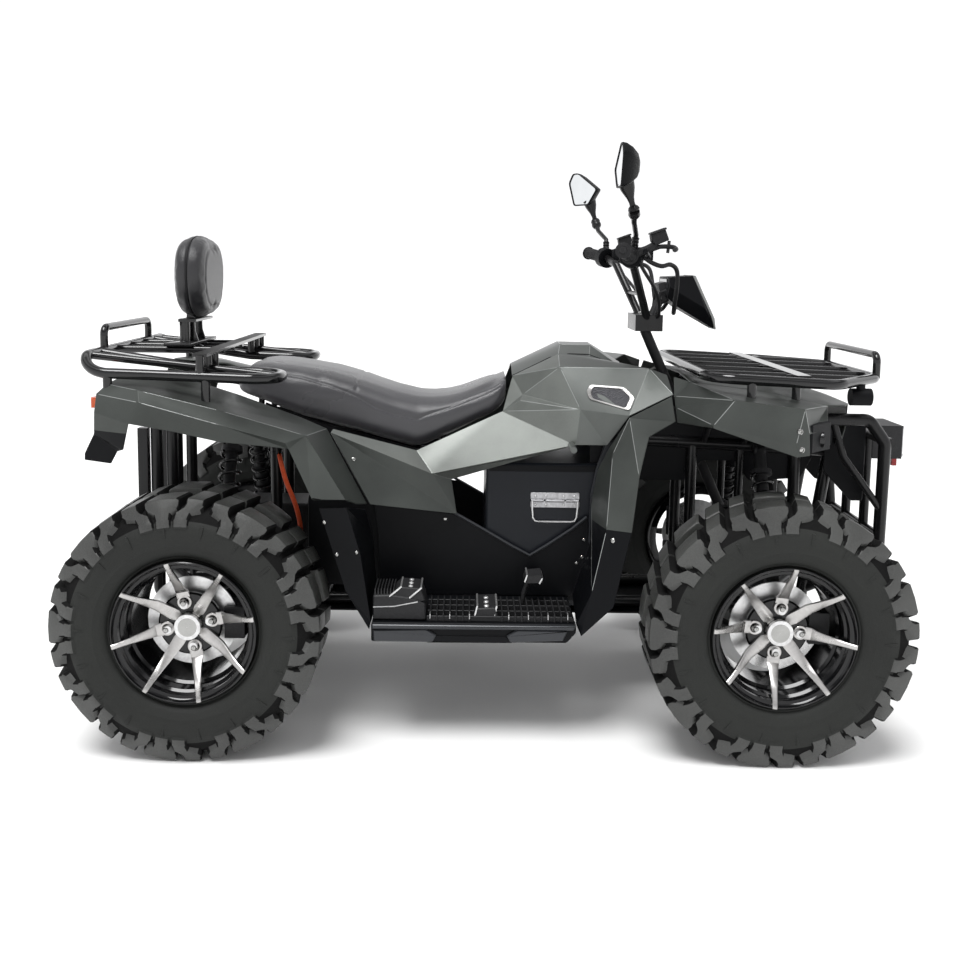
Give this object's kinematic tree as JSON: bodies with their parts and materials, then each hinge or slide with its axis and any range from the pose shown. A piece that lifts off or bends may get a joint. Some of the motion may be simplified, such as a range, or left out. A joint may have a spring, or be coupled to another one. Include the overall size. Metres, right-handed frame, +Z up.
{
  "type": "quad bike",
  "caption": "Full-size electric quad bike with two-up seat, backrest, tubular front and rear racks, front bumper and lugged tyres.",
  "frame": {"origin": "on the floor under the middle of the vehicle's bounding box", "axes": "+X forward, +Y to the rider's left, +Z up"},
  "size_m": [2.1748, 1.18, 1.4585],
  "materials": {
    "tyre": "matt moulded rubber",
    "rim_paint": "gloss black with machined spokes",
    "steel": "brushed",
    "cast": "cast, painted black",
    "body_paint": "satin metallic grey-green",
    "dark_plastic": "satin grained black",
    "black_tube": "satin black powder coat",
    "rack_tube": "gloss black powder coat",
    "rubber": "matt",
    "seat_vinyl": "grained vinyl",
    "lamp_glass": "clear lens over a dark bowl",
    "tail_red": "red and orange reflector",
    "hook_red": "red webbing"
  },
  "bodies": {
    "chassis": {"backrest_bracket": "black_tube", "backrest_pad": "seat_vinyl", "battery_box": "dark_plastic", "brake_pedal": "steel", "drive_unit": "cast", "footboard_left": "dark_plastic", "footboard_right": "dark_plastic", "frame": "black_tube", "front_aprons": "dark_plastic", "front_bumper": "rack_tube", "front_differential": "cast", "front_fender_left": "body_paint", "front_fender_right": "body_paint", "front_rack": "rack_tube", "front_shocks": "steel", "front_suspension_arms": "black_tube", "half_shafts": "steel", "headlamps": "lamp_glass", "marker_lamps": "lamp_glass", "nose_panel": "body_paint", "passenger_steps": "dark_plastic", "rear_aprons": "dark_plastic", "rear_fender_left": "body_paint", "rear_fender_right": "body_paint", "rear_rack": "rack_tube", "rear_shocks": "steel", "rear_suspension_arms": "black_tube", "rear_uprights": "cast", "seat": "seat_vinyl", "side_cowls": "dark_plastic", "side_panels": "body_paint", "skid_plate": "dark_plastic", "tail_lamps": "tail_red", "tank_cover": "dark_plastic", "tow_hitch": "black_tube", "tow_hook": "hook_red", "winch": "dark_plastic"},
    "handlebar": {"grips": "rubber", "hand_controls": "dark_plastic", "handlebar": "black_tube", "instrument_pod": "dark_plastic", "mirrors": "dark_plastic", "steering_column": "black_tube"},
    "knuckle_left": {"knuckle_left": "cast"},
    "knuckle_right": {"knuckle_right": "cast"},
    "tie_rod_left": {"tie_rod_left": "steel"},
    "tie_rod_right": {"tie_rod_right": "steel"},
    "wheel_front_left": {"hub_front_left": "steel", "rim_front_left": "rim_paint", "tyre_front_left": "tyre"},
    "wheel_front_right": {"hub_front_right": "steel", "rim_front_right": "rim_paint", "tyre_front_right": "tyre"},
    "wheel_rear_left": {"hub_rear_left": "steel", "rim_rear_left": "rim_paint", "tyre_rear_left": "tyre"},
    "wheel_rear_right": {"hub_rear_right": "steel", "rim_rear_right": "rim_paint", "tyre_rear_right": "tyre"}
  },
  "joints": [
    {"name": "steering", "type": "hinge", "parent": "chassis", "child": "handlebar", "pos_m": [0.3711, 0, 1.001], "axis": [-0.4163, 0, 0.9092], "range_deg": [-30, 30]},
    {"name": "kingpin_left", "type": "hinge", "parent": "chassis", "child": "knuckle_left", "pos_m": [0.6311, 0.378, 0.3175], "axis": [0, 0, 1], "range_deg": [-30, 30]},
    {"name": "link_left", "type": "hinge", "parent": "knuckle_left", "child": "tie_rod_left", "pos_m": [0.5311, 0.378, 0.41131], "axis": [0, 0, 1], "range_deg": [-30, 30]},
    {"name": "roll_front_left", "type": "hinge", "parent": "knuckle_left", "child": "wheel_front_left", "pos_m": [0.6311, 0.486, 0.3175], "axis": [0, 1, 0], "continuous": true},
    {"name": "roll_rear_left", "type": "hinge", "parent": "chassis", "child": "wheel_rear_left", "pos_m": [-0.7689, 0.463, 0.3175], "axis": [0, 1, 0], "continuous": true},
    {"name": "kingpin_right", "type": "hinge", "parent": "chassis", "child": "knuckle_right", "pos_m": [0.6311, -0.378, 0.3175], "axis": [0, 0, 1], "range_deg": [-30, 30]},
    {"name": "link_right", "type": "hinge", "parent": "knuckle_right", "child": "tie_rod_right", "pos_m": [0.5311, -0.378, 0.41131], "axis": [0, 0, 1], "range_deg": [-30, 30]},
    {"name": "roll_front_right", "type": "hinge", "parent": "knuckle_right", "child": "wheel_front_right", "pos_m": [0.6311, -0.486, 0.3175], "axis": [0, 1, 0], "continuous": true},
    {"name": "roll_rear_right", "type": "hinge", "parent": "chassis", "child": "wheel_rear_right", "pos_m": [-0.7689, -0.463, 0.3175], "axis": [0, 1, 0], "continuous": true}
  ],
  "couplings": [
    {"joint": "kingpin_left", "follows": "steering", "ratio": 1},
    {"joint": "link_left", "follows": "steering", "ratio": -1},
    {"joint": "kingpin_right", "follows": "steering", "ratio": 1},
    {"joint": "link_right", "follows": "steering", "ratio": -1}
  ]
}
